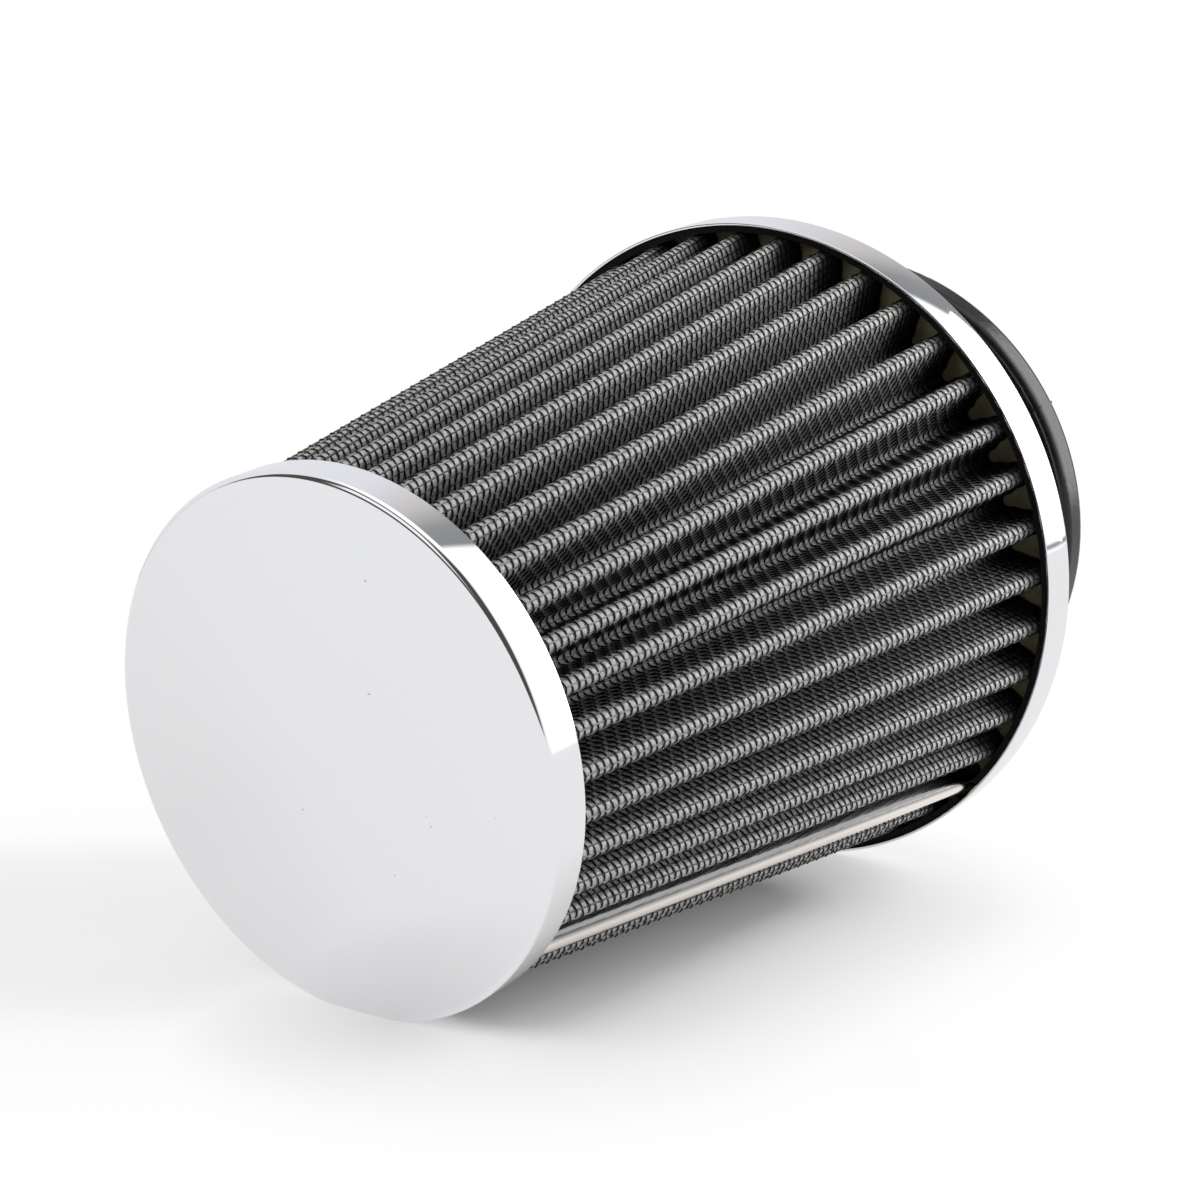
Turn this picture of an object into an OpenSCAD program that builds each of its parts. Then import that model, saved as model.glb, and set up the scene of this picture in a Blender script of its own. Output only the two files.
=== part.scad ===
// Cone air filter: a pleated filter pack between wire screens, with a pressed metal end cap
// on its small end and a metal base ring and a rubber neck on its large end.
// The neck's mouth stands at Z = 0, and the cap's flat face is the top.

/* [End cap] */
// Outer diameter of the end cap
cap_d = 92.8; // [84:0.2:98]
// Depth of the end cap, from its face to its rim
cap_h = 7.2; // [6:0.2:12]
// Sheet thickness of the end cap
cap_sheet = 0.7; // [0.5:0.1:1]
// Outer bend radius between the cap's face and its skirt
cap_bend = 1.1; // [1:0.1:2.5]

/* [Base ring] */
// Outer diameter of the base ring
ring_d = 127; // [122:0.5:136]
// Height of the base ring
ring_h = 8.4; // [7:0.2:14]
// Sheet thickness of the base ring
ring_sheet = 0.6; // [0.4:0.1:0.9]
// Outer bend radius at the back edge of the base ring
ring_bend = 1; // [1:0.1:2]
// Width of the lip that the base ring turns inwards at its back
ring_lip = 8; // [5:0.5:10]

/* [Filter pack] */
// Length of the pleats that shows between the cap's rim and the base ring
pleat_show_h = 116.9; // [80:0.1:160]
// Number of pleats
pleat_count = 40; // [30:1:44]
// Depth of a pleat, from the top of its crest to the inside of its root
pleat_depth = 10.2; // [9:0.2:13]
// Radius of each crest's fold, at the middle of the pack
crest_fold_r = 1.5; // [1:0.05:1.7]
// Radius of each root's fold, at the middle of the pack
root_fold_r = 0.9; // [0.85:0.05:1]
// Thickness of the cotton filter media
media_t = 0.8; // [0.6:0.05:0.9]
// Thickness of each wire screen
screen_t = 0.35; // [0.25:0.05:0.35]
// Gap between the pleats' crests and the end cap's skirt
cap_crest_gap = 1; // [0.8:0.1:1.5]
// Gap between the pleats' crests and the base ring's wall
ring_crest_gap = 0.6; // [0.6:0.1:1.2]

/* [Screen gaps] */
// Gaps along each crest of the outer screen
gap_rows = 3; // [1:1:3]
// Width of a gap across the crest
gap_w = 2.4; // [1:0.1:2.8]
// Wires left standing between two gaps
gap_tie = 3; // [2:0.5:8]

/* [Seam clip] */
// Thickness of the seam clip's strip
clip_t = 0.45; // [0.3:0.05:0.5]
// Length of each leg of the seam clip, down the pleat's flank
clip_leg = 3; // [2:0.5:3.5]

/* [Potting] */
// Depth of the base potting's surface below the base ring's front edge
base_pot_recess = 5.4; // [3:0.1:5.8]
// Depth of the top of the rim that the base potting leaves on the ring's wall
base_rim_recess = 0.4; // [0.3:0.1:2]
// Clearance between that rim and the pleats' crests
base_rim_gap = 0.1; // [0.1:0.05:0.3]
// How far the base potting reaches inwards past the pleats' roots
base_pot_cover = 6.6; // [5:0.1:7]
// Depth of the pleats' ends inside the cap's rim
cap_pot_recess = 2.2; // [1:0.1:3]
// Thickness of the cap potting inside the ring of pleats
cap_pot_floor = 2; // [1:0.1:3]
// Inner diameter of the raised part of the cap potting
cap_pot_step_d = 64; // [56:0.5:66]

/* [Rubber neck] */
// Inner diameter of the neck, which slips over the intake pipe
bore_d = 89; // [76:0.5:89.5]
// Length of the neck, from its mouth to the base ring's back face
neck_h = 31.5; // [24:0.5:45]
// Wall thickness of the neck
neck_wall = 3.6; // [3:0.1:4.5]
// Height of the bead round the neck's mouth
bead_h = 7; // [5:0.5:9]
// How far the bead stands out from the neck
bead_out = 2.2; // [1:0.1:3]
// Rounding of the bead's edges
bead_round = 2; // [1.2:0.1:2.4]
// Rounding of the mouth's inner edge
mouth_round = 1; // [0.5:0.1:1.2]
// How far the neck's flange laps over the base ring's lip
flange_lap = 1; // [0.5:0.1:3]
// Thickness of the flange
flange_t = 3.5; // [2.5:0.1:5]
// Height of the cone between the neck and the flange
shoulder_h = 10; // [6:0.5:14]
// Height of the moulding's parting line
parting_h = 0.25; // [0.1:0.05:0.4]
// Angle that the parting line takes up round the neck
parting_angle = 0.5; // [0.3:0.1:1]
// Direction of the parting line round the neck
parting_at = 40; // [0:1:180]

/* [Hidden] */
$fn = 96;
eps = 0.01;

// Levels along the axis
ring_back_z = neck_h;
ring_front_z = ring_back_z + ring_h;
cap_rim_z = ring_front_z + pleat_show_h;
cap_top_z = cap_rim_z + cap_h;
pleat_low_z = ring_front_z - base_pot_recess;
pleat_high_z = cap_rim_z + cap_pot_recess;

// Radii of the metal round the ends of the pleats
cap_r = cap_d / 2;
cap_inner_r = cap_r - cap_sheet;
ring_r = ring_d / 2;
ring_inner_r = ring_r - ring_sheet;

// Radii of the neck
bore_r = bore_d / 2;
neck_r = bore_r + neck_wall;
bead_r = neck_r + bead_out;
flange_r = ring_r - ring_lip + flange_lap;

// The pack is the media between two screens, and offsets are counted from its middle
pack_t = media_t + 2 * screen_t;
pack_out = pack_t / 2;
media_out = media_t / 2;

// Steps round each crest and each root
crest_steps = 6;
root_steps = 2;

// Radii of the crests' tops and of the folds' centres at the two ends of the pleats
crest_low_r = ring_inner_r - ring_crest_gap;
crest_high_r = cap_inner_r - cap_crest_gap;
base_pot_bore_r = crest_low_r - pleat_depth - base_pot_cover;
crest_fold_out = crest_fold_r + pack_out;
root_fold_out = root_fold_r + pack_out;
pleat_lean = atan((crest_low_r - crest_high_r) / (pleat_high_z - pleat_low_z));

function crest_centre(crest_r) = crest_r - crest_fold_out;
function root_centre(crest_r) = crest_r - pleat_depth + root_fold_out;
function polar(r, a) = [r * cos(a), r * sin(a)];

// Angle between a flank and the radius through its crest, from the tangent
// that crosses between the crest's fold and the root's fold
function flank_lean(crest_r) =
    let (
        side = root_centre(crest_r) * sin(180 / pleat_count),
        drop = crest_centre(crest_r) - root_centre(crest_r) * cos(180 / pleat_count)
    )
    atan2(side, drop) - asin((crest_fold_r + root_fold_r) / norm([side, drop]));

// Points round one crest, at an offset from the middle of the pack
function crest_arc(crest_r, at, offset) =
    let (spread = 90 - flank_lean(crest_r))
    [for (k = [0 : crest_steps])
        polar(crest_centre(crest_r), at)
            + polar(crest_fold_r + offset, at + spread * (2 * k / crest_steps - 1))];

// Points round the root that follows a crest, at the same offset
function root_arc(crest_r, at, offset) =
    let (
        root_at = at + 180 / pleat_count,
        spread = 90 - flank_lean(crest_r) - 180 / pleat_count
    )
    [for (k = [0 : root_steps])
        polar(root_centre(crest_r), root_at)
            - polar(root_fold_r - offset, root_at + spread * (1 - 2 * k / root_steps))];

// One closed outline of all the pleats
function pleat_outline(crest_r, offset) =
    [for (i = [0 : pleat_count - 1])
        let (at = 360 * i / pleat_count)
        each concat(crest_arc(crest_r, at, offset), root_arc(crest_r, at, offset))];

function raised(outline, z) = [for (p = outline) [p[0], p[1], z]];

// True for the strips of an outline that lead from a crest's top down to a root's bottom
function pleat_falls() =
    let (per_pleat = crest_steps + root_steps + 2)
    [for (i = [0 : pleat_count * per_pleat - 1])
        let (k = i % per_pleat)
        k >= crest_steps / 2 && k <= crest_steps + root_steps / 2];

// A strip's four corners as two triangles. A flank is a little twisted, and its diagonal
// runs from the crest's low end to the root's high end, so that all layers meet face to face
function split(q, falls) =
    falls ? [[q[0], q[1], q[2]], [q[0], q[2], q[3]]] : [[q[0], q[1], q[3]], [q[1], q[2], q[3]]];

function moved(faces, by) = [for (face = faces) [for (k = face) k + by]];
function turned(faces) = [for (face = faces) [for (k = [len(face) - 1 : -1 : 0]) face[k]]];

// A sheet between an outer and an inner side, each given as a low and a high outline
module sheet(low_outer, high_outer, low_inner, high_inner, z_low, z_high, falls, closed) {
    points = concat(
        raised(low_outer, z_low), raised(high_outer, z_high),
        raised(low_inner, z_low), raised(high_inner, z_high)
    );
    n = len(low_outer);
    strips = closed ? n : n - 1;
    outer_side = [for (i = [0 : strips - 1])
        let (j = (i + 1) % n)
        each split([i, i + n, j + n, j], falls[i])];
    low_end = [for (i = [0 : strips - 1])
        let (j = (i + 1) % n)
        [i, j, j + 2 * n, i + 2 * n]];
    edges = closed ? [] : [[0, 2 * n, 3 * n, n], [n - 1, 2 * n - 1, 4 * n - 1, 3 * n - 1]];
    polyhedron(
        points,
        concat(outer_side, moved(turned(outer_side), 2 * n), low_end, moved(turned(low_end), n), edges),
        convexity = 20
    );
}

// A pleated layer between two offsets, straight from the base to the cap
module pleated_layer(inner_offset, outer_offset) {
    sheet(
        pleat_outline(crest_low_r, outer_offset), pleat_outline(crest_high_r, outer_offset),
        pleat_outline(crest_low_r, inner_offset), pleat_outline(crest_high_r, inner_offset),
        pleat_low_z, pleat_high_z, pleat_falls(), true
    );
}

// Ring profile in the plane of the axis: from radius r_in to r_out, from z_low to z_high
module band(r_in, r_out, z_low, z_high) {
    translate([r_in, z_low]) square([r_out - r_in, z_high - z_low]);
}

// Section of a pressed cup with a rounded corner at its top, from the axis outwards
module cup_section(r, z_low, z_high, bend) {
    band(0, r, z_low, z_high - bend);
    band(0, r - bend, z_low, z_high);
    translate([r - bend, z_high - bend]) circle(bend);
}

module end_cap() {
    color([0.86, 0.87, 0.89])
    rotate_extrude()
    intersection() {
        difference() {
            cup_section(cap_r, cap_rim_z, cap_top_z, cap_bend);
            cup_section(cap_inner_r, cap_rim_z - eps, cap_top_z - cap_sheet, cap_bend - cap_sheet);
        }
        band(0, cap_r + 1, cap_rim_z, cap_top_z);
    }
}

module cap_potting() {
    color([0.56, 0.52, 0.37])
    rotate_extrude()
    difference() {
        cup_section(cap_inner_r, pleat_high_z, cap_top_z - cap_sheet, cap_bend - cap_sheet);
        band(-eps, cap_pot_step_d / 2, pleat_high_z - eps, cap_top_z - cap_sheet - cap_pot_floor);
    }
}

// One gap at the crest on the X axis, a fraction of the way up the pleats
module screen_gap(share) {
    run = norm([pleat_show_h, crest_low_r - crest_high_r]);
    pitch = (run - gap_tie) / gap_rows;
    depth = 2 * screen_t + gap_w / 4;
    z = ring_front_z + pleat_show_h * share;
    crest_r = crest_low_r + (z - pleat_low_z) / (pleat_high_z - pleat_low_z) * (crest_high_r - crest_low_r);
    translate([crest_r, 0, z])
    rotate([0, -pleat_lean, 0])
    translate([-depth, -gap_w / 2, (gap_tie - pitch) / 2])
    cube([depth + 1, gap_w, pitch - gap_tie]);
}

module outer_screen() {
    color([0.13, 0.13, 0.14])
    difference() {
        pleated_layer(media_out, pack_out);
        for (i = [1 : pleat_count - 1])
            rotate(360 * i / pleat_count)
            for (row = [0 : gap_rows - 1])
                screen_gap((row + 0.5) / gap_rows);
    }
}

module filter_media() {
    color([0.62, 0.62, 0.63])
    pleated_layer(-media_out, media_out);
}

module inner_screen() {
    color([0.2, 0.2, 0.21])
    pleated_layer(-pack_out, -media_out);
}

// Outline of one side of the seam clip: down one flank, round the crest, down the other
function clip_side(crest_r, offset) =
    let (
        arc = crest_arc(crest_r, 0, offset),
        lean = flank_lean(crest_r),
        leg = clip_leg * [-cos(lean), sin(lean)]
    )
    concat([arc[0] + [leg[0], -leg[1]]], arc, [arc[crest_steps] + leg]);

module seam_clip() {
    outer = pack_out + clip_t;
    strips = crest_steps + 2;
    color([0.84, 0.82, 0.79])
    sheet(
        clip_side(crest_low_r, outer), clip_side(crest_high_r, outer),
        clip_side(crest_low_r, pack_out), clip_side(crest_high_r, pack_out),
        pleat_low_z, pleat_high_z, [for (i = [0 : strips - 1]) i >= strips / 2], false
    );
}

// Section of the base ring's outside, with a rounded corner at its back
module ring_section(r, z_low, bend) {
    band(0, r, z_low + bend, ring_front_z);
    band(0, r - bend, z_low, ring_front_z);
    translate([r - bend, z_low + bend]) circle(bend);
}

module base_ring() {
    color([0.86, 0.87, 0.89])
    rotate_extrude()
    difference() {
        intersection() {
            ring_section(ring_r, ring_back_z, ring_bend);
            band(ring_r - ring_lip, ring_r, ring_back_z, ring_front_z);
        }
        band(-eps, ring_inner_r, ring_back_z + ring_bend, ring_front_z + eps);
        band(-eps, ring_r - ring_bend, ring_back_z + ring_sheet, ring_front_z + eps);
        translate([ring_r - ring_bend, ring_back_z + ring_bend]) circle(ring_bend - ring_sheet);
    }
}

// Section of the rim that climbs the ring's wall behind the pleats' crests
module potting_rim_section() {
    rim_top_z = ring_front_z - base_rim_recess;
    rim_foot_z = (ring_back_z + ring_bend + pleat_low_z) / 2;
    rim_low_r = crest_low_r + base_rim_gap;
    rim_rise = rim_top_z - pleat_low_z;
    polygon([
        [rim_low_r, rim_foot_z], [ring_inner_r, rim_foot_z],
        [ring_inner_r, rim_top_z], [rim_low_r - rim_rise * tan(pleat_lean), rim_top_z],
        [rim_low_r, pleat_low_z],
    ]);
}

// The rim is open at the seam clip, whose strip ends on the potting
module base_potting() {
    rim_open = asin((crest_fold_r + pack_out + clip_t + base_rim_gap) / crest_low_r);
    color([0.56, 0.52, 0.37]) {
        rotate_extrude()
        intersection() {
            union() {
                band(0, ring_r - ring_lip, ring_back_z, pleat_low_z);
                band(0, ring_inner_r, ring_back_z + ring_bend, pleat_low_z);
                band(0, ring_r - ring_bend, ring_back_z + ring_sheet, pleat_low_z);
                translate([ring_r - ring_bend, ring_back_z + ring_bend]) circle(ring_bend - ring_sheet);
            }
            band(base_pot_bore_r, ring_inner_r, ring_back_z, pleat_low_z);
        }
        rotate(rim_open) rotate_extrude(angle = 360 - 2 * rim_open) potting_rim_section();
    }
}

// Section of the neck, with its mouth bead, its shoulder and its flange
module neck_section() {
    flange_z = ring_back_z - flange_t;
    difference() {
        union() {
            band(bore_r, neck_r, 0, ring_back_z);
            band(bore_r, bead_r - bead_round, 0, bead_h);
            band(bore_r, bead_r, bead_round, bead_h - bead_round);
            translate([bead_r - bead_round, bead_round]) circle(bead_round);
            translate([bead_r - bead_round, bead_h - bead_round]) circle(bead_round);
            polygon([
                [bore_r, flange_z - shoulder_h], [neck_r, flange_z - shoulder_h],
                [flange_r - flange_t, flange_z], [bore_r, flange_z],
            ]);
            band(bore_r, flange_r - flange_t / 2, flange_z, ring_back_z);
            translate([flange_r - flange_t / 2, ring_back_z - flange_t / 2]) circle(flange_t / 2);
        }
        difference() {
            band(bore_r - eps, bore_r + mouth_round, -eps, mouth_round);
            translate([bore_r + mouth_round, mouth_round]) circle(mouth_round);
        }
    }
}

// Section of the parting line's ridge, along the neck and over the bead
module ridge_section() {
    ridge_top_z = ring_back_z - flange_t - shoulder_h - parting_h;
    band(neck_r - bead_round / 2, neck_r + parting_h, bead_h / 2, ridge_top_z);
    intersection() {
        union() {
            band(neck_r, bead_r + parting_h, bead_round, bead_h - bead_round);
            translate([bead_r - bead_round, bead_round]) circle(bead_round + parting_h);
            translate([bead_r - bead_round, bead_h - bead_round]) circle(bead_round + parting_h);
        }
        band(neck_r, bead_r + parting_h, parting_h, bead_h - parting_h);
    }
}

module rubber_neck() {
    color([0.16, 0.16, 0.17]) {
        rotate_extrude() neck_section();
        for (side = [0, 180])
            rotate(parting_at + side)
            rotate_extrude(angle = parting_angle) ridge_section();
    }
}

end_cap();
cap_potting();
outer_screen();
filter_media();
inner_screen();
seam_clip();
base_ring();
base_potting();
rubber_neck();
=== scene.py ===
# Cone air filter: woven wire over grey pleated gauze, a plated end cap and base ring,
# beige potting, one bright seam clip and a black rubber neck.
# Metres, in the part's own frame: the neck's mouth stands at Z = 0 and the cap is on top.

import math

import bpy
import numpy as np
from mathutils import Matrix, Vector


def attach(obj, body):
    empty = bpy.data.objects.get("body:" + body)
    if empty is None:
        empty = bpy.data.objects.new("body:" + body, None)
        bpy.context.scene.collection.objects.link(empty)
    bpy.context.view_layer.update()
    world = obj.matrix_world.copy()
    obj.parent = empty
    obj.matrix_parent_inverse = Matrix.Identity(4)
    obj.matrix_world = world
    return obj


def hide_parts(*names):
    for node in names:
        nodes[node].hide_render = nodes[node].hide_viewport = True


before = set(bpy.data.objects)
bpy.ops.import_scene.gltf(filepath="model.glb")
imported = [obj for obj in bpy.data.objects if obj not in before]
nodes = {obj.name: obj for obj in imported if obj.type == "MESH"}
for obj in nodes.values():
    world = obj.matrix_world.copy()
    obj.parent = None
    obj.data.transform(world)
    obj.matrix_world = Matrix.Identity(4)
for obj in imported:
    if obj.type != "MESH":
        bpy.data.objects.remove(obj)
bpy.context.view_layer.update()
MM = 0.001

# The pleats, in millimetres. The folds' radii are those of the pack's middle surface. PACK_OUT is how
# far the crests' outside lies from that surface, and MEDIA_OUT is how far the gauze's skin does
PLEATS = 40
HALF_PLEAT = math.pi / PLEATS
PLEAT_DEPTH = 10.2
CREST_FOLD_R = 1.1
ROOT_FOLD_R = 1.5
PACK_OUT = 0.75
MEDIA_OUT = 0.4
CREST_LOW_R = 62.3
CREST_HIGH_R = 44.7
PLEAT_LOW_Z = 34.5
PLEAT_HIGH_Z = 159.0
GAUZE_ROWS = 40

# The wire screen, in millimetres. Hoop wires run round the filter and long wires along its pleats.
# Hoop wires weave about a surface SCREEN_OUT from the pack's middle surface, and long wires swing
# from that surface inwards. The screen ends TOP_GAP below the pack's top
WIRE_PITCH = 1.44
WIRE_R = 0.17
WIRE_SIDES = 3
WIRES_PER_PLEAT = 14
SCREEN_OUT = 0.5
HOOP_WEAVE = 0.14
LONG_WEAVE = 0.05
TOP_GAP = 0.2
WIRE_LEVELS = np.arange(PLEAT_LOW_Z + WIRE_PITCH / 2, PLEAT_HIGH_Z - TOP_GAP, WIRE_PITCH)
# Shares of a pleat's profile, from the crest and from the roots, where hoop wires have more points
CREST_SHARE = 0.15
ROOT_SHARE = 0.05
# How much pale painted sheen, standing in for the glint of the coating, each of a pleat's long wires
# has, from root to root over the crest
WIRE_SHEEN_SHARES = (0.25, 0.1, 0.02, 0.0, 0.1, 0.4, 1.0, 0.4, 0.1, 0.0, 0.02, 0.1, 0.25, 0.6)

# How far the base ring's painted shadow reaches above it on a crest, and how much further in a root, in
# millimetres
RING_SHADOW_CREST = 4
RING_SHADOW_ROOT = 7
# How much darker the gauze is painted half way down a pleat, as shade in the folds, and how much darker
# it is at the cap
FLANK_SHADE = 0.5
CAP_SHADE = 0.27

# The seam clip, in millimetres. Its colour, with its legs painted dark as shade, is laid out over
# CLIP_SPAN to each side of its middle, and DRAWN_LINES is how fine its grain is in each direction, per
# metre
CLIP_T = 0.45
CLIP_LEG = 3
CLIP_SPAN = 5
CLIP_STEPS = 17
DRAWN_LINES = (4000, 4000, 60)

# The pressed metal, in millimetres
CAP_R = 46.4
CAP_LOW_Z = 156.8
CAP_HIGH_Z = 164.0
CAP_SHEET = 0.7
CAP_BEND = 1.1
RING_R = 63.5
RING_LOW_Z = 31.5
RING_HIGH_Z = 39.9
RING_SHEET = 0.6
RING_BEND = 1.0
RING_LIP_R = 55.5
EDGE_ROUND = 0.15
FACE_INSET = 8
SAME_PLACE = 0.02
ROUND_SIDES = 256
BEND_STEPS = 8
EDGE_STEPS = 3
SHARP_ANGLE = math.radians(35)
# Smaller than the cap's flat face and larger than any other face of it, in square metres
FACE_AREA = 0.001

# The neck's turn in degrees, and the heights in millimetres between which the potting turns to painted
# black shade
PARTING_TURN = 32
RIM_SHADE_LOW_Z = PLEAT_LOW_Z + 0.2
RIM_SHADE_HIGH_Z = PLEAT_LOW_Z + 0.6

# Linear colours and grey levels of the materials. GAUZE_STOPS go from gauze darkest under its painted
# shade to unshaded gauze
PLATING = (0.9, 0.905, 0.92)
SPECK = (0.5, 0.5, 0.52)
BRIGHT_STRIP = (0.95, 0.9, 0.84)
# Dark grey painted as shade on the clip's legs
LEG_SHADE_GREY = (0.09, 0.09, 0.09)
DARK_BEIGE = (0.27, 0.235, 0.135)
PALE_BEIGE = (0.4, 0.36, 0.22)
# Black painted as shade on the potting above its base surface
RIM_PAINTED_SHADE = (0.006, 0.006, 0.006)
COATING = 0.006
INNER_COATING = 0.03
LONG_COATING = 0.01
# Pale grey painted on the long wires as their sheen
PAINTED_SHEEN_GREY = 0.38
FIBRE_SHADOW = (0.66, 0.66, 0.67)
FIBRE_TOP = (1.0, 0.985, 0.96)
GAUZE_STOPS = [(0.0, 0.03), (0.6, 0.57), (1.0, 0.94)]
DARK_RUBBER = 0.008
PALE_RUBBER = 0.014
# Linear colours of the table, of its own glow, of the table as other light sees it, and of the studio
TABLE_TOP = (0.97, 0.95, 0.96)
TABLE_GLOW = (0.09, 0.09, 0.09)
TABLE_PLAIN = (0.8, 0.79, 0.79)
WINDOW = (1.0, 1.0, 1.0)
CEILING = (1.3, 1.3, 1.3)
GAP = (0.22, 0.24, 0.29)
SOFT_LIGHT = (0.25, 0.25, 0.25)
BACKDROP = (1.0, 1.0, 1.0)


def set_inputs(tree, node, inputs):
    """Gives a node's inputs, by name or number, a value, a colour or the output of another node."""
    for key, value in inputs.items():
        if isinstance(value, bpy.types.NodeSocket):
            tree.links.new(value, node.inputs[key])
        elif node.inputs[key].type == "RGBA":
            node.inputs[key].default_value = (*value, 1)
        else:
            node.inputs[key].default_value = value


def add_node(tree, kind, x, y, inputs=None, **settings):
    """A node at a place in the tree, with its settings and its inputs."""
    node = tree.nodes.new(kind)
    node.location = (x, y)
    for key, value in settings.items():
        setattr(node, key, value)
    set_inputs(tree, node, inputs or {})
    return node


def grain_group():
    """Fine grain at one scale, for a gauze, a casting or a moulding."""
    group = bpy.data.node_groups.new("Surface grain", "ShaderNodeTree")
    group.interface.new_socket("Scale", in_out="INPUT", socket_type="NodeSocketFloat")
    group.interface.new_socket("Detail", in_out="INPUT", socket_type="NodeSocketFloat")
    group.interface.new_socket("Grain", in_out="OUTPUT", socket_type="NodeSocketFloat")
    start = add_node(group, "NodeGroupInput", -600, 0)
    place = add_node(group, "ShaderNodeTexCoord", -600, -200)
    noise = add_node(group, "ShaderNodeTexNoise", -300, 0, {
        "Vector": place.outputs["Object"],
        "Scale": start.outputs["Scale"],
        "Detail": start.outputs["Detail"],
    })
    add_node(group, "NodeGroupOutput", 0, 0, {"Grain": noise.outputs["Fac"]})
    return group


GRAIN = grain_group()


def add_grain(tree, scale, detail, x, y):
    """The grain at a scale and with a detail, from 0 to 1."""
    inputs = {"Scale": scale, "Detail": detail}
    return add_node(tree, "ShaderNodeGroup", x, y, inputs, node_tree=GRAIN).outputs["Grain"]


def add_ramp(tree, value, stops, x, y):
    """A colour ramp fed by a value. Each stop is a place and a linear grey level or colour."""
    node = add_node(tree, "ShaderNodeValToRGB", x, y, {"Fac": value})
    ramp = node.color_ramp
    while len(ramp.elements) < len(stops):
        ramp.elements.new(0.5)
    for element, (place, colour) in zip(ramp.elements, stops):
        if not isinstance(colour, tuple):
            colour = (colour, colour, colour)
        element.position = place
        element.color = (*colour, 1)
    return node.outputs["Color"]


def add_bump(tree, shader, height, strength, distance, x, y):
    """Lets a height raise a shader's surface, by a distance in millimetres."""
    bump = add_node(tree, "ShaderNodeBump", x, y, {
        "Strength": strength,
        "Distance": distance * MM,
        "Height": height,
    })
    set_inputs(tree, shader, {"Normal": bump.outputs["Normal"]})


def add_math(tree, operation, values, x, y, clamp=False):
    """Arithmetic on one to three values."""
    inputs = dict(enumerate(values))
    node = add_node(tree, "ShaderNodeMath", x, y, inputs, operation=operation, use_clamp=clamp)
    return node.outputs[0]


def add_dot(tree, place, direction, x, y):
    """How far a place lies along a direction."""
    inputs = {0: place, 1: direction}
    return add_node(tree, "ShaderNodeVectorMath", x, y, inputs, operation="DOT_PRODUCT").outputs["Value"]


def add_mix(tree, factor, first, second, x, y, blend="MIX"):
    """A mix of two colours."""
    inputs = {"Factor": factor, "A": first, "B": second}
    return add_node(
        tree, "ShaderNodeMix", x, y, inputs, data_type="RGBA", blend_type=blend
    ).outputs["Result"]


def mix_shaders(tree, factor, first, second, x, y):
    """A mix of two shaders."""
    inputs = {0: factor, 1: first, 2: second}
    return add_node(tree, "ShaderNodeMixShader", x, y, inputs).outputs[0]


def make_material(name):
    """A new material with a Principled shader, which is returned with its node tree."""
    material = bpy.data.materials.new(name)
    material.use_nodes = True
    tree = material.node_tree
    return material, tree, tree.nodes["Principled BSDF"]


def plated_steel():
    """Chrome plating with faint waviness and a few specks."""
    material, tree, shader = make_material("Plated steel")
    spots = add_grain(tree, 900, 0, -900, 200)
    unspecked_and_unshaded = add_ramp(tree, spots, [(0.0, 0.0), (0.08, 0.0), (0.11, 1.0)], -600, 200)
    colour = add_mix(tree, unspecked_and_unshaded, SPECK, PLATING, -300, 200)
    cloud = add_grain(tree, 40, 2, -900, -100)
    rough = add_ramp(tree, cloud, [(0.3, 0.05), (0.7, 0.09)], -600, -100)
    set_inputs(tree, shader, {"Metallic": 1.0, "Base Color": colour, "Roughness": rough})
    add_bump(tree, shader, cloud, 0.05, 0.4, -300, -200)
    return material


def clip_steel():
    """Rolled bright strip with fine drawn lines along it. Its two legs are painted dark as shade."""
    material, tree, shader = make_material("Rolled strip")
    place = add_node(tree, "ShaderNodeTexCoord", -1100, 0).outputs["Object"]
    split = add_node(tree, "ShaderNodeSeparateXYZ", -1100, 300, {"Vector": place})
    aside = add_math(tree, "ABSOLUTE", [split.outputs["Y"]], -900, 300)
    # How far across the clip its legs' painted shade begins
    leg_shade = add_math(tree, "MULTIPLY", [aside, 1 / (CLIP_SPAN * MM)], -700, 300)
    colour = add_ramp(tree, leg_shade, [(0.27, BRIGHT_STRIP), (0.4, LEG_SHADE_GREY)], -400, 300)
    stretch = add_node(tree, "ShaderNodeMapping", -900, 0, {"Vector": place, "Scale": DRAWN_LINES})
    lines = add_node(tree, "ShaderNodeTexNoise", -700, 0, {
        "Vector": stretch.outputs["Vector"],
        "Scale": 1.0,
    }).outputs["Fac"]
    rough = add_ramp(tree, lines, [(0.3, 0.12), (0.7, 0.26)], -400, 0)
    set_inputs(tree, shader, {"Metallic": 1.0, "Base Color": colour, "Roughness": rough})
    add_bump(tree, shader, lines, 0.15, 0.1, -300, -250)
    return material


def cast_potting():
    """Beige cast resin with a slight mottle. Above the base potting's main surface it is painted black
    as shade: the rim that climbs the ring's wall, and with it all of the cap potting.
    """
    material, tree, shader = make_material("Cast potting")
    mottle = add_grain(tree, 260, 4, -900, 100)
    beige = add_ramp(tree, mottle, [(0.3, DARK_BEIGE), (0.7, PALE_BEIGE)], -600, 100)
    place = add_node(tree, "ShaderNodeTexCoord", -1700, -300)
    split = add_node(tree, "ShaderNodeSeparateXYZ", -1500, -300, {"Vector": place.outputs["Object"]})
    rim = add_node(tree, "ShaderNodeMapRange", -1100, -400, {
        "Value": split.outputs["Z"],
        "From Min": RIM_SHADE_LOW_Z * MM,
        "From Max": RIM_SHADE_HIGH_Z * MM,
    })
    colour = add_mix(tree, rim.outputs["Result"], beige, RIM_PAINTED_SHADE, -200, 100)
    set_inputs(tree, shader, {"Base Color": colour, "Roughness": 0.6, "Specular IOR Level": 0.12})
    add_bump(tree, shader, mottle, 0.3, 0.4, -300, -200)
    return material


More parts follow.
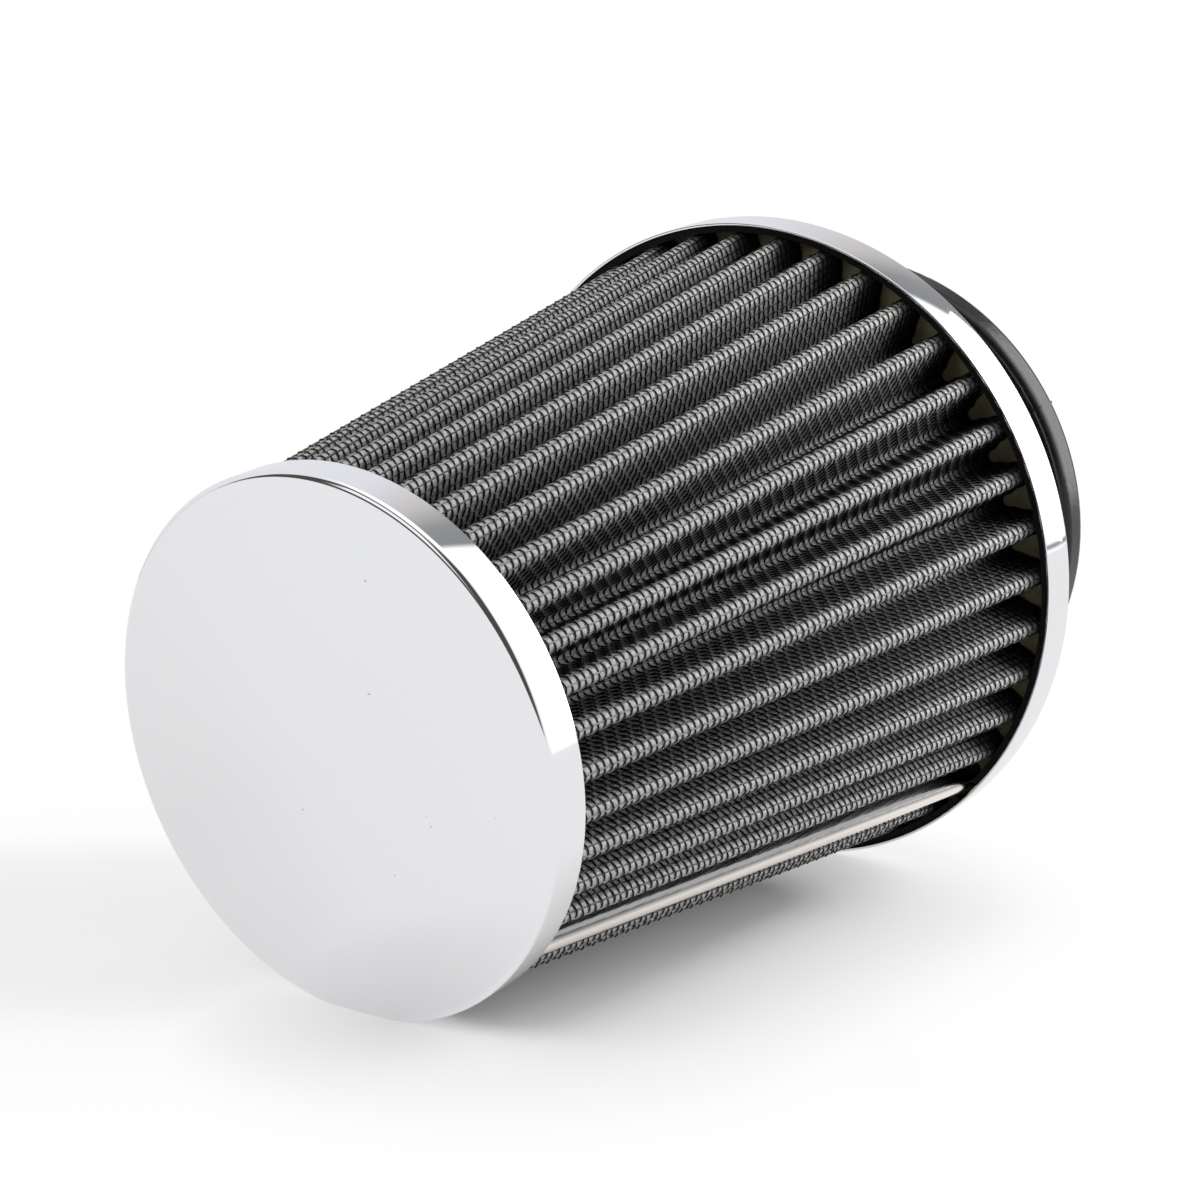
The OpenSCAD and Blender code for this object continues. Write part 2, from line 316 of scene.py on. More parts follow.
def coated_wire(name, tone, shine):
    """Black coating on wire, a little uneven."""
    material, tree, shader = make_material(name)
    grain = add_grain(tree, 1800, 2, -900, 100)
    colour = add_ramp(tree, grain, [(0.3, tone * 0.7), (0.7, tone * 1.3)], -600, 100)
    set_inputs(tree, shader, {"Base Color": colour, "Roughness": 0.3, "Specular IOR Level": shine})
    return material


def wire_with_painted_sheen():
    """Black coating on the wires along the pleats, with a pale painted sheen that is strongest on the
    crests.
    """
    material, tree, shader = make_material("Wire with painted sheen")
    # The painted sheen, from the mesh
    sheen = add_node(tree, "ShaderNodeAttribute", -900, 100, attribute_name="sheen")
    colour = add_ramp(tree, sheen.outputs["Fac"], [(0.0, LONG_COATING), (1.0, PAINTED_SHEEN_GREY)], -600, 100)
    set_inputs(tree, shader, {"Base Color": colour, "Roughness": 0.3, "Specular IOR Level": 0.3})
    return material


def oiled_gauze():
    """Grey cotton gauze, glossy with oil. It bulges a little in each opening of the wire screen, and it
    is painted darker as shade on the flanks of the pleats and near the base ring, and it is darker
    towards the cap."""
    material, tree, shader = make_material("Oiled gauze")
    wires = add_node(tree, "ShaderNodeUVMap", -1500, 200, uv_map="wires")
    split = add_node(tree, "ShaderNodeSeparateXYZ", -1300, 200, {"Vector": wires.outputs["UV"]})
    across = add_math(tree, "PINGPONG", [split.outputs["X"], 0.5], -1100, 300)
    along = add_math(tree, "PINGPONG", [split.outputs["Y"], 0.5], -1100, 100)
    pillow = add_math(tree, "MULTIPLY", [across, along], -900, 200)
    # Brightness under the painted shade, from the mesh
    unspecked_and_unshaded = add_node(tree, "ShaderNodeAttribute", -1500, -100, attribute_name="unspecked_and_unshaded")
    shade = add_ramp(tree, unspecked_and_unshaded.outputs["Fac"], GAUZE_STOPS, -600, -100)
    fibres = add_grain(tree, 2200, 3, -900, 500)
    tint = add_ramp(tree, fibres, [(0.3, FIBRE_SHADOW), (0.7, FIBRE_TOP)], -600, 500)
    colour = add_mix(tree, 1.0, tint, shade, -100, 300, "MULTIPLY")
    height = add_math(tree, "MULTIPLY_ADD", [pillow, 4.0, fibres], -600, 200)
    set_inputs(tree, shader, {"Base Color": colour, "Roughness": 0.3})
    add_bump(tree, shader, height, 0.6, 0.12, -300, -300)
    return material


def moulded_rubber():
    """Black moulded rubber with a fine skin."""
    material, tree, shader = make_material("Moulded rubber")
    grain = add_grain(tree, 700, 3, -900, 100)
    colour = add_ramp(tree, grain, [(0.3, DARK_RUBBER), (0.7, PALE_RUBBER)], -600, 100)
    rough = add_ramp(tree, grain, [(0.3, 0.18), (0.7, 0.26)], -600, -150)
    set_inputs(tree, shader, {"Base Color": colour, "Roughness": rough, "Specular IOR Level": 0.35})
    add_bump(tree, shader, grain, 0.15, 0.2, -300, -300)
    return material


def set_material(piece, material):
    """Gives a piece one material."""
    piece.data.materials.clear()
    piece.data.materials.append(material)


def place_piece(piece, replaced):
    """Puts a piece on the body, in the place of a solid, which is hidden."""
    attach(piece, "root")
    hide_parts(replaced)


def add_piece(name, points, faces, material):
    """A smooth object from points in millimetres and faces."""
    mesh = bpy.data.meshes.new(name)
    mesh.from_pydata((points * MM).tolist(), [], faces.tolist())
    mesh.update()
    mesh.polygons.foreach_set("use_smooth", [True] * len(mesh.polygons))
    piece = bpy.data.objects.new(name, mesh)
    bpy.context.scene.collection.objects.link(piece)
    set_material(piece, material)
    return piece


def select_only(piece):
    """Selects one piece and makes it active."""
    bpy.ops.object.select_all(action="DESELECT")
    piece.select_set(True)
    bpy.context.view_layer.objects.active = piece


def thicken(piece, thickness):
    """Gives a sheet its thickness in millimetres, inwards from its face."""
    select_only(piece)
    modifier = piece.modifiers.new("Solidify", "SOLIDIFY")
    modifier.thickness = thickness * MM
    modifier.offset = -1
    bpy.ops.object.modifier_apply(modifier=modifier.name)


def smooth_by_angle(piece):
    """Smooth shading that keeps the sharp edges."""
    select_only(piece)
    bpy.ops.object.shade_smooth_by_angle(angle=SHARP_ANGLE)


def turned(points, angle):
    """Points turned round the axis."""
    c, s = math.cos(angle), math.sin(angle)
    return points @ np.array([[c, s, 0], [-s, c, 0], [0, 0, 1]])


def crest_radius(z):
    """The radius of the pack's crests at a height."""
    share = (z - PLEAT_LOW_Z) / (PLEAT_HIGH_Z - PLEAT_LOW_Z)
    return CREST_LOW_R + share * (CREST_HIGH_R - CREST_LOW_R)


def pleat_folds(crest_r):
    """How far out the centres of a pleat's crest and root folds lie, with the lean and the length of
    the flank between them."""
    crest_c = crest_r - CREST_FOLD_R - PACK_OUT
    root_c = crest_r - PLEAT_DEPTH + ROOT_FOLD_R + PACK_OUT
    side = root_c * math.sin(HALF_PLEAT)
    drop = crest_c - root_c * math.cos(HALF_PLEAT)
    folds = CREST_FOLD_R + ROOT_FOLD_R
    lean = math.atan2(side, drop) - math.asin(folds / math.hypot(side, drop))
    flank = math.sqrt(side ** 2 + drop ** 2 - folds ** 2)
    return crest_c, root_c, lean, flank


def pleat_points(crest_r, offset, at):
    """Points of one pleat's profile at fractions of its length, from root to root over its crest,
    with the outward direction at each."""
    crest_c, root_c, lean, flank = pleat_folds(crest_r)
    crest_fold = CREST_FOLD_R + offset
    root_fold = ROOT_FOLD_R - offset
    crest_spread = math.pi / 2 - lean
    crest_arc = crest_fold * crest_spread
    root_arc = root_fold * (crest_spread - HALF_PLEAT)
    share = np.asarray(at) * 2 - 1
    run = np.abs(share) * (crest_arc + flank + root_arc)
    sign = np.sign(share)
    turn_crest = run / crest_fold
    turn_root = crest_spread - (run - crest_arc - flank) / root_fold
    down = run - crest_arc
    on_flank = (run > crest_arc) & (run <= crest_arc + flank)
    on_root = run > crest_arc + flank
    x = crest_c + crest_fold * np.cos(turn_crest)
    y = crest_fold * np.sin(turn_crest)
    out_x = np.cos(turn_crest)
    out_y = np.sin(turn_crest)
    x = np.where(on_flank, crest_c + crest_fold * math.sin(lean) - math.cos(lean) * down, x)
    y = np.where(on_flank, crest_fold * math.cos(lean) + math.sin(lean) * down, y)
    out_x = np.where(on_flank, math.sin(lean), out_x)
    out_y = np.where(on_flank, math.cos(lean), out_y)
    x = np.where(on_root, root_c * math.cos(HALF_PLEAT) - root_fold * np.cos(turn_root), x)
    y = np.where(on_root, root_c * math.sin(HALF_PLEAT) - root_fold * np.sin(turn_root), y)
    out_x = np.where(on_root, np.cos(turn_root), out_x)
    out_y = np.where(on_root, np.sin(turn_root), out_y)
    return np.stack([x, y * sign], -1), np.stack([out_x, out_y * sign], -1)


# Operators can't weave, so the wires are made point by point: one pleat's wires are laid out,
# then turned round the axis for each pleat
def tubes(paths, outward):
    """Thin tubes along paths (wire, point, xyz). Returns their points and faces."""
    along = np.gradient(paths, axis=1)
    along /= np.linalg.norm(along, axis=2, keepdims=True)
    across = np.cross(along, outward)
    across /= np.linalg.norm(across, axis=2, keepdims=True)
    lift = np.cross(across, along)
    turns = 2 * math.pi * (np.arange(WIRE_SIDES) + 0.5) / WIRE_SIDES
    ring = (
        across[:, :, None] * np.cos(turns)[None, None, :, None]
        + lift[:, :, None] * np.sin(turns)[None, None, :, None]
    )
    points = paths[:, :, None] + WIRE_R * ring
    wires, steps = paths.shape[:2]
    index = np.arange(wires * steps * WIRE_SIDES).reshape(wires, steps, WIRE_SIDES)
    low = index[:, :-1]
    high = index[:, 1:]
    faces = np.stack([low, high, np.roll(high, -1, axis=2), np.roll(low, -1, axis=2)], -1)
    return points.reshape(-1, 3), faces.reshape(-1, 4)


def hoop_wires():
    """One pleat's share of the wires that run round the filter. Even steps cross the long wires, over
    and under in turn, and odd steps lie between them, where the folds need more points."""
    steps = np.arange(2 * WIRES_PER_PLEAT + 1)
    from_crest = np.abs(steps / (2 * WIRES_PER_PLEAT) - 0.5)
    folded = (from_crest < CREST_SHARE) | (from_crest > 0.5 - ROOT_SHARE)
    steps = steps[(steps % 2 == 0) | folded]
    at = steps / (2 * WIRES_PER_PLEAT)
    paths, outward = [], []
    for k, z in enumerate(WIRE_LEVELS):
        flat, out = pleat_points(crest_radius(z), SCREEN_OUT, at)
        swing = HOOP_WEAVE * np.cos(math.pi * (steps / 2 + k))
        flat = flat + out * swing[:, None]
        paths.append(np.column_stack([flat, np.full(len(at), z)]))
        outward.append(np.column_stack([out, np.zeros(len(at))]))
    return tubes(np.array(paths), np.array(outward))


def long_wires():
    """One pleat's share of the wires that run along the pleats."""
    paths, outward = [], []
    for k in range(WIRES_PER_PLEAT):
        at = np.array([(k + 1) / WIRES_PER_PLEAT])
        rows = [pleat_points(crest_radius(z), SCREEN_OUT - LONG_WEAVE, at) for z in WIRE_LEVELS]
        flat = np.array([row[0][0] for row in rows])
        out = np.array([row[1][0] for row in rows])
        swing = LONG_WEAVE * np.where((np.arange(len(WIRE_LEVELS)) + k + 1) % 2 == 0, -1, 1)
        flat = flat + out * swing[:, None]
        paths.append(np.column_stack([flat, WIRE_LEVELS]))
        outward.append(np.column_stack([out, np.zeros(len(WIRE_LEVELS))]))
    return tubes(np.array(paths), np.array(outward))


def woven_screen(name, wires, shares, material):
    """The wires of all the pleats, as a few objects with the same number of pleats each."""
    points, faces = wires
    count = PLEATS // shares
    screens = []
    for share in range(shares):
        turns = [2 * math.pi * (share * count + k) / PLEATS for k in range(count)]
        screen = add_piece(
            f"{name}_{share + 1}",
            np.concatenate([turned(points, turn) for turn in turns]),
            np.concatenate([faces + k * len(points) for k in range(count)]),
            material,
        )
        place_piece(screen, "outer_screen")
        screens.append(screen)
    return screens


def paint_wire_sheen(screen):
    """An attribute that holds how much painted sheen each point of the long wires has."""
    mesh = screen.data
    each = len(WIRE_LEVELS) * WIRE_SIDES
    pleats = len(mesh.vertices) // (each * WIRES_PER_PLEAT)
    heights = np.array([vertex.co.z for vertex in mesh.vertices]) / MM
    # Painted shadow of the base ring: the wires' sheen fades out close above it
    from_ring = np.clip((heights - RING_HIGH_Z) / RING_SHADOW_CREST, 0, 1)
    sheen = mesh.attributes.new("sheen", "FLOAT", "POINT")
    sheen.data.foreach_set("value", from_ring * np.tile(np.repeat(WIRE_SHEEN_SHARES, each), pleats))


def pleated_gauze():
    """The folded gauze. Its map counts the wires across and along, and an attribute holds how bright
    each point is under painted shade: the flanks are painted darker as shade, so is the end in the base
    ring under the ring's painted shadow, and the gauze darkens towards the cap."""
    share = np.arange(2 * WIRES_PER_PLEAT) / (2 * WIRES_PER_PLEAT)
    levels = np.linspace(PLEAT_LOW_Z, PLEAT_HIGH_Z, GAUZE_ROWS)
    rows = []
    for z in levels:
        flat, _ = pleat_points(crest_radius(z), MEDIA_OUT, share)
        pleat = np.column_stack([flat, np.full(len(share), z)])
        rows.append(np.concatenate([turned(pleat, 2 * math.pi * k / PLEATS) for k in range(PLEATS)]))
    points = np.array(rows)
    count = points.shape[1]
    index = np.arange(GAUZE_ROWS * count).reshape(GAUZE_ROWS, count)
    right = np.roll(index, -1, axis=1)
    faces = np.stack([index[:-1], right[:-1], right[1:], index[1:]], -1).reshape(-1, 4)
    gauze = add_piece("pleated_gauze", points.reshape(-1, 3), faces, oiled_gauze())
    mesh = gauze.data

    # Painted shade down the flanks and in the base ring's shadow; the gauze also gets darker towards the
    # cap
    radii = np.linalg.norm(points[:, :, :2], axis=2)
    drop = (crest_radius(levels)[:, None] - radii) / PLEAT_DEPTH
    # Painted shadow of the base ring, longer in the roots than on the crests
    from_ring = (levels[:, None] - RING_HIGH_Z) / (RING_SHADOW_CREST + drop * RING_SHADOW_ROOT)
    towards_cap = np.linspace(0, 1, GAUZE_ROWS)[:, None]
    shade = (1 - FLANK_SHADE * np.sin(math.pi * drop)) * (1 - CAP_SHADE * towards_cap)
    unspecked_and_unshaded = mesh.attributes.new("unspecked_and_unshaded", "FLOAT", "POINT")
    unspecked_and_unshaded.data.foreach_set("value", (np.clip(from_ring, 0, 1) * shade).reshape(-1))

    # The last column of faces closes the ring, so its right side has the map's last value
    corners = np.array([loop.vertex_index for loop in mesh.loops])
    lapped = (corners % count == 0) & (np.repeat(faces[:, 0] % count, 4) == count - 1)
    across = np.where(lapped, count, corners % count) / 2
    along = (levels[corners // count] - PLEAT_LOW_Z) / WIRE_PITCH + 0.5
    wires = mesh.uv_layers.new(name="wires")
    wires.data.foreach_set("uv", np.column_stack([across, along]).reshape(-1))
    thicken(gauze, 2 * MEDIA_OUT)
    return gauze


def smooth_clip():
    """The seam clip: a strip bent round the crest at the seam, from the base to the cap."""
    arc = np.linspace(-1, 1, CLIP_STEPS)
    fold = CREST_FOLD_R + PACK_OUT + CLIP_T
    rows = []
    for z in (PLEAT_LOW_Z, PLEAT_HIGH_Z):
        crest_c, _, lean, _ = pleat_folds(crest_radius(z))
        turn = arc * (math.pi / 2 - lean)
        bend = np.column_stack([crest_c + fold * np.cos(turn), fold * np.sin(turn)])
        leg = CLIP_LEG * np.array([-math.cos(lean), math.sin(lean)])
        flat = np.concatenate([[bend[0] + leg * [1, -1]], bend, [bend[-1] + leg]])
        rows.append(np.column_stack([flat, np.full(len(flat), z)]))
    count = len(rows[0])
    index = np.arange(count - 1)
    faces = np.stack([index, index + 1, index + 1 + count, index + count], -1)
    clip = add_piece("seam_strip", np.concatenate(rows), faces, clip_steel())
    thicken(clip, CLIP_T)
    smooth_by_angle(clip)
    return clip


def open_tube(name, radius, low, high, fill):
    """A tube with its wall at a radius, between two heights, closed at both ends or open."""
    bpy.ops.object.select_all(action="DESELECT")
    bpy.ops.mesh.primitive_cylinder_add(
        vertices=ROUND_SIDES, radius=radius * MM, depth=(high - low) * MM, end_fill_type=fill,
        location=(0, 0, (high + low) / 2 * MM),
    )
    piece = bpy.context.object
    piece.name = name
    piece.data.name = name
    bpy.ops.object.transform_apply(location=True, rotation=True, scale=True)
    return piece


def edit_chosen(piece, kind, chosen):
    """Enters edit mode with only the edges or faces selected that a test chooses."""
    bpy.ops.object.mode_set(mode="EDIT")
    bpy.ops.mesh.select_mode(type=kind)
    bpy.ops.mesh.select_all(action="DESELECT")
    bpy.ops.object.mode_set(mode="OBJECT")
    elements = piece.data.edges if kind == "EDGE" else piece.data.polygons
    for element in elements:
        element.select = chosen(element)
    bpy.ops.object.mode_set(mode="EDIT")


def edit_rim(piece, height, least_r=0):
    """Enters edit mode with only the edges selected that run round the axis at one height."""
    def in_rim(edge):
        ends = [piece.data.vertices[v].co / MM for v in edge.vertices]
        radii = [math.hypot(end.x, end.y) for end in ends]
        level = all(abs(end.z - height) < SAME_PLACE for end in ends)
        return level and abs(radii[0] - radii[1]) < SAME_PLACE and min(radii) > least_r

    edit_chosen(piece, "EDGE", in_rim)


def bevel(width, steps):
    """Rounds the selected edges and leaves edit mode."""
    bpy.ops.mesh.bevel(offset=width * MM, segments=steps, affect="EDGES")
    bpy.ops.object.mode_set(mode="OBJECT")


def pressed_cap(material):
    """The end cap: a shallow cup with a flat face, a small bend and a short skirt."""
    cap = open_tube("pressed_cap", CAP_R, CAP_LOW_Z, CAP_HIGH_Z, "NGON")
    edit_chosen(cap, "FACE", lambda face: face.normal.z < -0.9)
    bpy.ops.mesh.delete(type="ONLY_FACE")
    bpy.ops.object.mode_set(mode="OBJECT")
    edit_rim(cap, CAP_HIGH_Z)
    bevel(CAP_BEND, BEND_STEPS)
    edit_chosen(cap, "FACE", lambda face: face.normal.z > 0.999 and face.area > FACE_AREA)
    bpy.ops.mesh.inset(thickness=EDGE_ROUND * MM)
    bpy.ops.mesh.inset(thickness=FACE_INSET * MM)
    bpy.ops.object.mode_set(mode="OBJECT")
    thicken(cap, CAP_SHEET)
    smooth_by_angle(cap)
    set_material(cap, material)
    return cap


def pressed_ring(material):
    """The base ring: a plain band with a lip turned inwards at its back."""
    ring = open_tube("pressed_ring", RING_R, RING_LOW_Z, RING_HIGH_Z, "NOTHING")
    edit_rim(ring, RING_LOW_Z)
    bpy.ops.mesh.extrude_region_move()
    share = RING_LIP_R / RING_R
    bpy.ops.transform.resize(value=(share, share, 1), center_override=(0, 0, 0))
    bpy.ops.object.mode_set(mode="OBJECT")
    edit_rim(ring, RING_LOW_Z, RING_R - 1)
    bevel(RING_BEND, BEND_STEPS)
    thicken(ring, RING_SHEET)
    edit_rim(ring, RING_HIGH_Z)
    bevel(EDGE_ROUND, EDGE_STEPS)
    smooth_by_angle(ring)
    set_material(ring, material)
    return ring


def moulded_neck():
    """The neck, turned so that its parting line lies where the photograph shows it."""
    solid = nodes["rubber_neck"]
    points = np.array([solid.matrix_world @ vertex.co for vertex in solid.data.vertices]) / MM
    faces = np.array([list(face.vertices) for face in solid.data.polygons])
    neck = add_piece("moulded_neck", turned(points, math.radians(PARTING_TURN)), faces, moulded_rubber())
    smooth_by_angle(neck)
    return neck


woven_screen("hoop_wires", hoop_wires(), 4, coated_wire("Coated wire", COATING, 0.2))
for screen in woven_screen("long_wires", long_wires(), 2, wire_with_painted_sheen()):
    paint_wire_sheen(screen)
chrome = plated_steel()
potting = cast_potting()
place_piece(pressed_cap(chrome), "end_cap")
place_piece(pressed_ring(chrome), "base_ring")
place_piece(pleated_gauze(), "filter_media")
place_piece(smooth_clip(), "seam_clip")
set_material(nodes["cap_potting"], potting)
set_material(nodes["base_potting"], potting)
set_material(nodes["inner_screen"], coated_wire("Inner screen", INNER_COATING, 0.4))
place_piece(moulded_neck(), "rubber_neck")

# The photograph's camera, and the surface that the filter lies on there.
# It touches the cap's and the base ring's edges, and it is seen only from above
CAMERA_PLACE = Vector((0.09834, 0.29506, 0.44137))
CAMERA_RIGHT = Vector((0.62379, 0.5027, -0.59848))
CAMERA_UP = Vector((-0.75107, 0.59743, -0.28101))
CAMERA_BACK = Vector((0.21629, 0.6248, 0.75023))
CAMERA_LENS = 77.873
CAMERA_SENSOR = 36
TABLE_UP = Vector((-0.70057, 0.70057, -0.13564))
TABLE_RIGHT = Vector((0.62123, 0.50526, -0.59898))
TABLE_FRONT = Vector((0.35109, 0.5039, 0.78919))
TABLE_POINT = Vector((0.0384, -0.0384, 0.098))
TABLE_SIZE = 1.5

# The filter's soft shade on the table is painted: near a line the table shows its own lit surface, and
# away from the line it is painted white. The white fades in with the distance from the line, in tenths
# of a metre, and with the place to the front and to the right on the table, where 0.5 is at TABLE_POINT
# and 1 is an eighth of a metre further. Each stop ends with how white the table is there
SHADE_START = TABLE_POINT - 0.015 * TABLE_RIGHT + 0.05 * TABLE_FRONT
SHADE_END = TABLE_POINT + 0.024 * TABLE_RIGHT - 0.008 * TABLE_FRONT
SHADE_STOPS = [(0.1, 0.0), (0.22, 0.32), (0.35, 0.53), (0.46, 0.68), (0.56, 0.88), (0.68, 1.0)]
SHADE_SCALE = 10
FRONT_STOPS = [
    (0.1, 1.0), (0.28, 0.95), (0.36, 0.72), (0.46, 0.64),
    (0.65, 0.62), (0.7, 0.72), (0.75, 0.88), (0.94, 1.0),
]
RIGHT_STOPS = [(0.6, 0.0), (0.7, 1.0)]
EDGE_SCALE = 4

# How white the table looks in bright metal, against 1 to the camera
MIRRORED_TABLE = 0.88

# Each lamp's name, its place from its target (to the right of the table, up from it and to its
# front), its size, its power, and whether bright metal mirrors it
LAMPS = [
    ("Right lamp", (0.9, 0.42, -0.1), 0.9, 7.5, True),
    ("Top lamp", (-0.1, 0.95, -0.2), 0.7, 1.7, False),
    ("Left lamp", (-0.7, 0.55, 0.5), 0.7, 3.2, False),
]
LAMP_TARGET = Vector((0, 0, 0.09))

# What bright metal mirrors, by the share of a turn from the left over the back and the right: a pale
# wall, a grey gap, a white wall, and the dim room in front, which has a bright window
WALL_STOPS = [
    (0.0, (0.84, 0.84, 0.85)), (0.2, (0.83, 0.83, 0.87)), (0.25, (0.81, 0.81, 0.86)),
    (0.31, (0.6, 0.57, 0.56)), (0.35, (0.32, 0.32, 0.33)), (0.388, (0.26, 0.27, 0.28)),
    (0.393, (1.2, 1.2, 1.2)), (0.62, (1.0, 1.0, 1.0)), (0.68, (0.08, 0.065, 0.07)),
    (0.96, (0.08, 0.065, 0.07)),
]
WINDOW_SIDES = [(0.82, 0.0), (0.85, 1.0), (0.945, 1.0), (0.96, 0.0)]
# The same by height, where 1 is straight up: the window, the ceiling, and the dark gap where the
# table ends. That gap lies below 0, so its stops are at twice the height plus 0.5
WINDOW_HEIGHTS = [(0.22, 0.0), (0.3, 1.0), (0.7, 1.0), (0.76, 0.0)]
CEILING_HEIGHTS = [(0.84, 0.0), (0.95, 1.0)]
GAP_HEIGHTS = [(0.33, 0.0), (0.34, 1.0), (0.36, 1.0), (0.375, 0.0)]


def make_camera():
    """The photograph's camera."""
    camera = bpy.data.cameras.new("Camera")
    camera.lens = CAMERA_LENS
    camera.sensor_width = CAMERA_SENSOR
    camera_object = bpy.data.objects.new("Camera", camera)
    bpy.context.scene.collection.objects.link(camera_object)
    turn = Matrix((CAMERA_RIGHT, CAMERA_UP, CAMERA_BACK)).transposed().to_4x4()
    turn.translation = CAMERA_PLACE
    camera_object.matrix_world = turn
    bpy.context.scene.camera = camera_object


def empty_tree(owner):
    """The node tree of a material or a world, without nodes."""
    owner.use_nodes = True
    owner.node_tree.nodes.clear()
    return owner.node_tree


def shade_distance(tree, place):
    """How far a place lies from the line in the middle of the shade."""
    def add_vector(operation, inputs, x, y):
        return add_node(tree, "ShaderNodeVectorMath", x, y, inputs, operation=operation).outputs

    from_start = add_vector("SUBTRACT", {0: place, 1: SHADE_START}, -1500, -200)[0]
    length = SHADE_END - SHADE_START
    share = add_dot(tree, from_start, length / length.length_squared, -1300, -100)
    within = add_math(tree, "ADD", [share, 0], -1100, -100, clamp=True)
    near = add_vector("SCALE", {0: length, "Scale": within}, -900, -100)[0]
    return add_vector("DISTANCE", {0: from_start, 1: near}, -700, -200)["Value"]


def shade_edge(tree, place, direction, stops, y):
    """How white the table is along a direction."""
    shift = 0.5 - EDGE_SCALE * TABLE_POINT.dot(direction)
    along = add_dot(tree, place, direction, -1500, y)
    share = add_math(tree, "MULTIPLY_ADD", [along, EDGE_SCALE, shift], -1300, y)
    return add_ramp(tree, share, stops, -900, y)


def make_table():
    """The pale surface under the filter. The camera and bright metal see it fade to white away from
    the filter. The light that it throws on the filter is a plain surface's."""
    bpy.ops.object.select_all(action="DESELECT")
    bpy.ops.mesh.primitive_plane_add(size=1)
    table = bpy.context.object
    table.name = "floor"
    for vertex in table.data.vertices:
        aside = vertex.co.x * TABLE_SIZE * TABLE_RIGHT
        vertex.co = aside - vertex.co.y * TABLE_SIZE * TABLE_FRONT + TABLE_POINT
    if table.data.polygons[0].normal.dot(TABLE_UP) < 0:
        table.data.flip_normals()

    material = bpy.data.materials.new("Pale table")
    tree = empty_tree(material)
    path = add_node(tree, "ShaderNodeLightPath", -500, 350)
    place = add_node(tree, "ShaderNodeTexCoord", -1700, -300).outputs["Object"]
    pale = add_node(tree, "ShaderNodeBsdfDiffuse", -300, 100, {"Color": TABLE_TOP})
    glow = add_node(tree, "ShaderNodeEmission", -300, -50, {"Color": TABLE_GLOW})
    lit = add_node(tree, "ShaderNodeAddShader", -100, 50, {0: pale.outputs[0], 1: glow.outputs[0]})
    levels = [path.outputs["Is Camera Ray"], 1 - MIRRORED_TABLE, MIRRORED_TABLE]
    strength = add_math(tree, "MULTIPLY_ADD", levels, -300, -150)
    white = add_node(tree, "ShaderNodeEmission", -100, -100, {"Strength": strength})
    away = add_math(tree, "MULTIPLY", [shade_distance(tree, place), SHADE_SCALE], -600, -200)
    open_shade = add_ramp(tree, away, SHADE_STOPS, -500, -300)
    front = shade_edge(tree, place, TABLE_FRONT, FRONT_STOPS, -600)
    right = shade_edge(tree, place, TABLE_RIGHT, RIGHT_STOPS, -900)
    limit = add_math(tree, "MAXIMUM", [front, right], -500, -700)
    fade = add_math(tree, "MINIMUM", [open_shade, limit], -300, -400)
    top = mix_shaders(tree, fade, lit.outputs[0], white.outputs[0], 100, 0)
    plain = add_node(tree, "ShaderNodeBsdfDiffuse", 100, -150, {"Color": TABLE_PLAIN})
    rays = [path.outputs["Is Camera Ray"], path.outputs["Is Glossy Ray"]]
    seen = add_math(tree, "MAXIMUM", rays, -100, 350)
    surface = mix_shaders(tree, seen, plain.outputs[0], top, 250, 0)
    side = add_node(tree, "ShaderNodeNewGeometry", 100, 300)
    clear = add_node(tree, "ShaderNodeBsdfTransparent", 250, -200)
    one_sided = mix_shaders(tree, side.outputs["Backfacing"], surface, clear.outputs[0], 420, 0)
    add_node(tree, "ShaderNodeOutputMaterial", 600, 0, {"Surface": one_sided})
    set_material(table, material)


def softbox(name, place, size, power, mirrored):
    """A square lamp that looks at the filter."""
    lamp = bpy.data.lights.new(name, "AREA")
    lamp.size = size
    lamp.energy = power
    lamp_object = bpy.data.objects.new(name, lamp)
    bpy.context.scene.collection.objects.link(lamp_object)
    right, up, front = place
    at = LAMP_TARGET + right * TABLE_RIGHT + up * TABLE_UP + front * TABLE_FRONT
    lamp_object.location = at
    lamp_object.rotation_euler = (at - LAMP_TARGET).to_track_quat("Z", "Y").to_euler()
    lamp_object.visible_glossy = mirrored


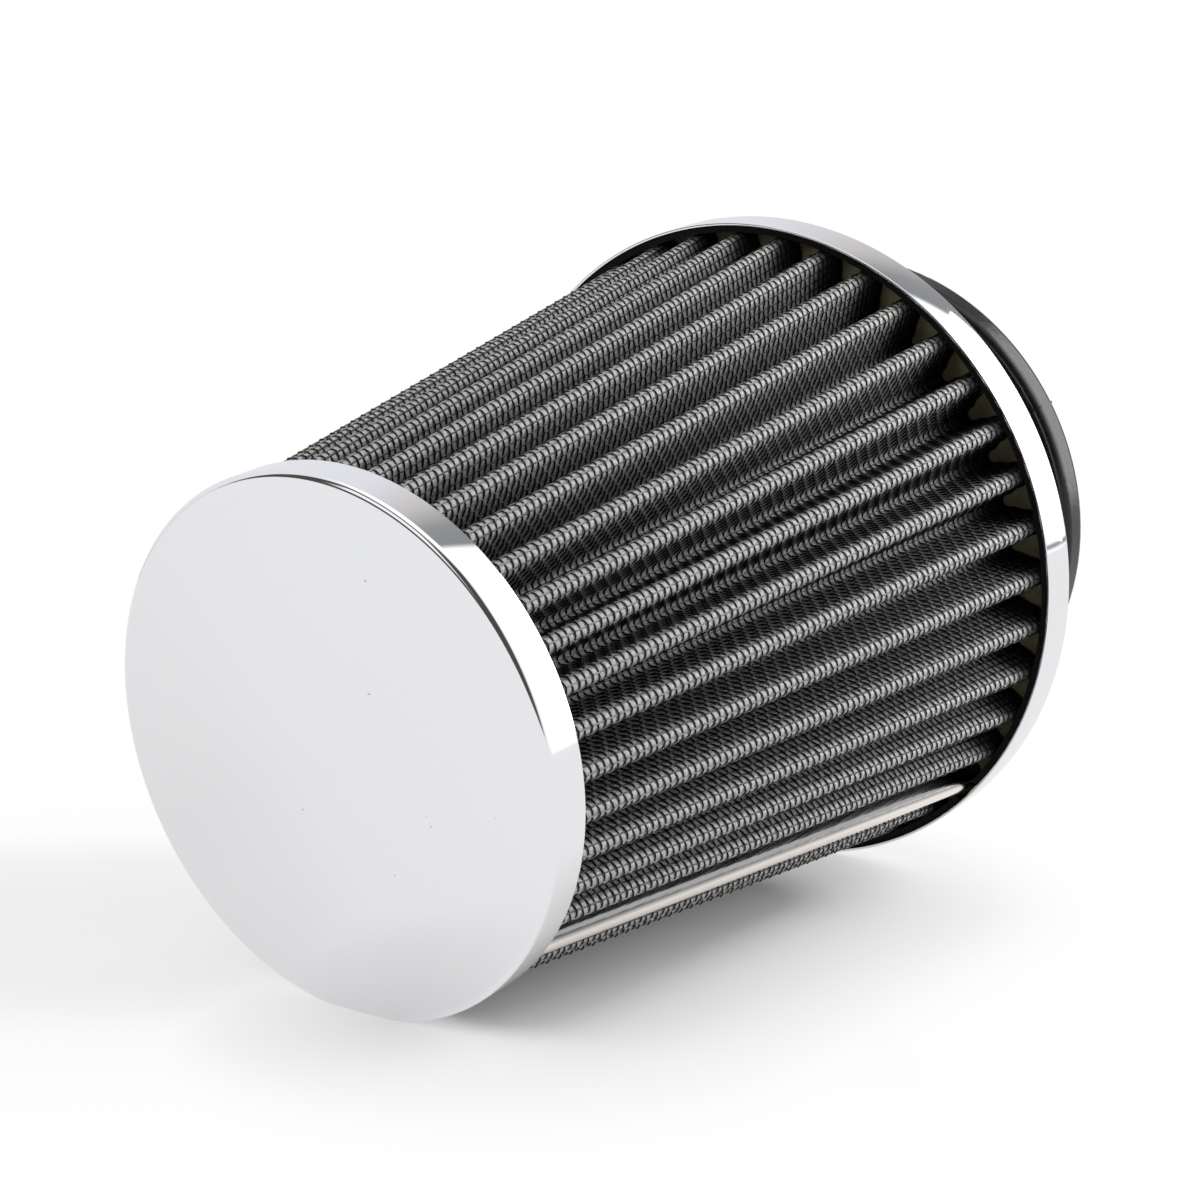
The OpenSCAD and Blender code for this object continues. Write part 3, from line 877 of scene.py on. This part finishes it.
def make_world():
    """A studio that is white to the camera. Bright metal mirrors its walls, its window, its ceiling
    and the gap at the table's end. Its own light is soft and grey."""
    world = bpy.data.worlds.new("Studio")
    bpy.context.scene.world = world
    tree = empty_tree(world)
    place = add_node(tree, "ShaderNodeTexCoord", -1200, 0).outputs["Generated"]
    right = add_dot(tree, place, TABLE_RIGHT, -1000, 200)
    up = add_dot(tree, place, TABLE_UP, -1000, 0)
    front = add_dot(tree, place, TABLE_FRONT, -1000, -200)
    turn = add_math(tree, "ARCTAN2", [front, right], -800, 100)
    share = add_math(tree, "MULTIPLY_ADD", [turn, 1 / (2 * math.pi), 0.5], -600, 100)
    walls = add_ramp(tree, share, WALL_STOPS, -300, 100)
    sides = add_ramp(tree, share, WINDOW_SIDES, -600, 700)
    heights = add_ramp(tree, up, WINDOW_HEIGHTS, -600, 550)
    window = add_math(tree, "MULTIPLY", [sides, heights], -300, 600)
    room = add_mix(tree, window, walls, WINDOW, -200, 400)
    low = add_math(tree, "MULTIPLY_ADD", [up, 2, 0.5], -600, 400)
    gap = add_ramp(tree, low, GAP_HEIGHTS, -300, 400)
    edge = add_mix(tree, gap, room, GAP, -100, 200)
    ceiling = add_ramp(tree, up, CEILING_HEIGHTS, -300, -200)
    seen = add_mix(tree, ceiling, edge, CEILING, 0, 0)
    studio = add_node(tree, "ShaderNodeBackground", 200, 0, {"Color": seen}).outputs[0]
    soft = add_node(tree, "ShaderNodeBackground", 200, -150, {"Color": SOFT_LIGHT}).outputs[0]
    white = add_node(tree, "ShaderNodeBackground", 200, -300, {"Color": BACKDROP}).outputs[0]
    path = add_node(tree, "ShaderNodeLightPath", 0, 300)
    glossy = mix_shaders(tree, path.outputs["Is Glossy Ray"], soft, studio, 400, 0)
    surface = mix_shaders(tree, path.outputs["Is Camera Ray"], glossy, white, 550, 0)
    add_node(tree, "ShaderNodeOutputWorld", 700, 0, {"Surface": surface})


make_camera()
make_table()
for lamp in LAMPS:
    softbox(*lamp)
make_world()
bpy.context.scene.view_settings.view_transform = "Standard"
